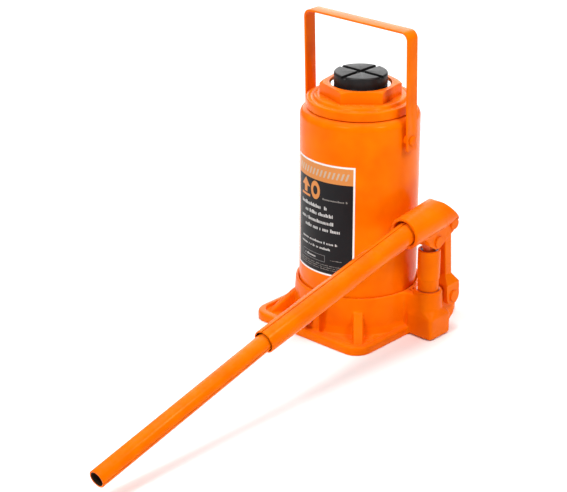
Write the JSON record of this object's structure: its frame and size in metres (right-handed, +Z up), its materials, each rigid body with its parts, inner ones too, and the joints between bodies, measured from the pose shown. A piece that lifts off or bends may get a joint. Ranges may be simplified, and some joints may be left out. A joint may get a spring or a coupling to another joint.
{
  "type": "hydraulic bottle jack",
  "caption": "Upright hydraulic bottle jack with a round oil tank on a flanged base, side pump with link and long two-piece handle, extension-screw saddle and carrying bail.",
  "frame": {"origin": "the ram's axis on the underside of the base", "axes": "+Z up along the ram, +X from the ram to the pump, the handle reaches out towards -Y and the link stands at +Y"},
  "size_m": [0.16, 0.4805, 0.2901],
  "materials": {
    "orange_paint_cast": "gloss orange enamel on a casting",
    "orange_paint_steel": "gloss orange enamel on sheet and bar steel",
    "black_steel": "black oxide, satin",
    "chrome_steel": "ground and hard chromed",
    "bright_steel": "turned steel",
    "zinc_steel": "zinc plated",
    "spring_steel": "spring steel, oiled",
    "seal_rubber": "nitrile, matte",
    "seal_urethane": "polyurethane, satin",
    "gasket_copper": "soft copper",
    "filter_mesh": "woven bronze",
    "label_vinyl": "printed vinyl, gloss"
  },
  "bodies": {
    "base_and_tank": {"base_casting": "orange_paint_cast", "tank_gasket": "seal_rubber", "reservoir_tank": "orange_paint_steel", "label": "label_vinyl", "cylinder_gasket": "gasket_copper", "pressure_cylinder": "bright_steel", "tank_nut": "orange_paint_cast", "nut_seal": "seal_rubber", "ram_wiper": "seal_urethane", "pump_gasket": "gasket_copper", "pump_cylinder": "orange_paint_steel", "pump_washer": "gasket_copper", "plunger_wiper": "seal_urethane", "bail_bushes": "orange_paint_steel", "bail_screws": "orange_paint_steel", "outlet_plug": "orange_paint_steel", "outlet_spring": "spring_steel", "overload_spring": "spring_steel", "overload_screw": "orange_paint_steel", "suction_filter": "filter_mesh"},
    "ram_assembly": {"ram": "chrome_steel", "ram_cup_retainer": "bright_steel", "ram_cup": "seal_urethane", "ram_backup_ring": "bright_steel"},
    "screw_stop": {"extension_stop_ring": "spring_steel"},
    "screw_and_saddle": {"extension_screw": "bright_steel", "saddle": "black_steel"},
    "plunger": {"pump_plunger": "bright_steel", "plunger_o_ring": "seal_rubber"},
    "socket": {"handle_socket": "orange_paint_cast", "plunger_pin": "orange_paint_steel", "link_top_pin": "orange_paint_steel", "socket_pin_clips": "zinc_steel"},
    "link": {"link": "orange_paint_cast", "link_base_pin": "orange_paint_steel", "base_pin_clip": "zinc_steel"},
    "handle_upper": {"handle_outer_tube": "orange_paint_steel"},
    "handle_lower": {"handle_inner_tube": "orange_paint_steel"},
    "bail": {"bail": "orange_paint_steel"},
    "filler_plug": {"filler_plug": "seal_rubber"},
    "valve_ring": {"release_o_ring": "seal_rubber"},
    "release_valve": {"release_valve": "zinc_steel"},
    "release_ball": {"release_ball": "bright_steel"},
    "inlet_ball": {"inlet_ball": "bright_steel"},
    "outlet_ball": {"outlet_ball": "bright_steel"},
    "overload_ball": {"overload_ball": "bright_steel"}
  },
  "joints": [
    {"name": "ram_slide", "type": "slide", "parent": "base_and_tank", "child": "ram_assembly", "axis": [0, 0, 1], "range_m": [0, 0.033]},
    {"name": "screw_rise", "type": "slide", "parent": "ram_assembly", "child": "screw_stop", "axis": [0, 0, 1], "range_m": [0, 0.012]},
    {"name": "screw_turn", "type": "hinge", "parent": "screw_stop", "child": "screw_and_saddle", "pos_m": [0, 0, 0.2], "axis": [0, 0, 1], "range_deg": [0, 1080]},
    {"name": "plunger_slide", "type": "slide", "parent": "base_and_tank", "child": "plunger", "axis": [0, 0, 1], "range_m": [0, 0.0234]},
    {"name": "handle_pivot", "type": "hinge", "parent": "plunger", "child": "socket", "pos_m": [0.077, 0.01, 0.0946], "axis": [-1, 0, 0], "range_deg": [0, 56]},
    {"name": "link_pivot", "type": "hinge", "parent": "base_and_tank", "child": "link", "pos_m": [0.077, 0.0363, 0.0317], "axis": [-1, 0, 0], "range_deg": [-0.1, 1.6]},
    {"name": "handle_upper_pull", "type": "slide", "parent": "socket", "child": "handle_upper", "axis": [0, -0.9774, -0.2113], "range_m": [0, 0.06]},
    {"name": "handle_lower_pull", "type": "slide", "parent": "handle_upper", "child": "handle_lower", "axis": [0, -0.9686, -0.2487], "range_m": [0, 0.06]},
    {"name": "bail_swing", "type": "hinge", "parent": "base_and_tank", "child": "bail", "pos_m": [0, 0, 0.1885], "axis": [1, 0, 0], "range_deg": [-120, 120]},
    {"name": "filler_plug_pull", "type": "slide", "parent": "base_and_tank", "child": "filler_plug", "axis": [0, 1, 0], "range_m": [0, 0.02]},
    {"name": "valve_rise", "type": "slide", "parent": "base_and_tank", "child": "valve_ring", "axis": [0, -1, 0], "range_m": [0, 0.0024]},
    {"name": "valve_turn", "type": "hinge", "parent": "valve_ring", "child": "release_valve", "pos_m": [-0.002, -0.06, 0.018], "axis": [0, -1, 0], "range_deg": [0, 540]},
    {"name": "release_ball_lift", "type": "slide", "parent": "base_and_tank", "child": "release_ball", "axis": [0, -1, 0], "range_m": [0, 0.002]},
    {"name": "inlet_ball_lift", "type": "slide", "parent": "base_and_tank", "child": "inlet_ball", "axis": [0, 0, 1], "range_m": [0, 0.0015]},
    {"name": "outlet_ball_lift", "type": "slide", "parent": "base_and_tank", "child": "outlet_ball", "axis": [0, 0, 1], "range_m": [0, 0.0015], "stiffness_N_per_m": 60, "springref_m": -0.002, "deforming": ["outlet_spring"]},
    {"name": "overload_ball_lift", "type": "slide", "parent": "base_and_tank", "child": "overload_ball", "axis": [0, 1, 0], "range_m": [0, 0.001], "stiffness_N_per_m": 300, "springref_m": -0.001, "deforming": ["overload_spring"]}
  ],
  "couplings": [
    {"joint": "screw_rise", "follows": "screw_turn", "m_per_rad": 0.00063662},
    {"joint": "plunger_slide", "follows": "handle_pivot", "m_per_rad": 0.023941},
    {"joint": "link_pivot", "follows": "handle_pivot", "ratio": 0.0268},
    {"joint": "valve_rise", "follows": "valve_turn", "m_per_rad": 0.00023873},
    {"joint": "release_ball_lift", "follows": "valve_turn", "m_per_rad": 0.00021221}
  ]
}
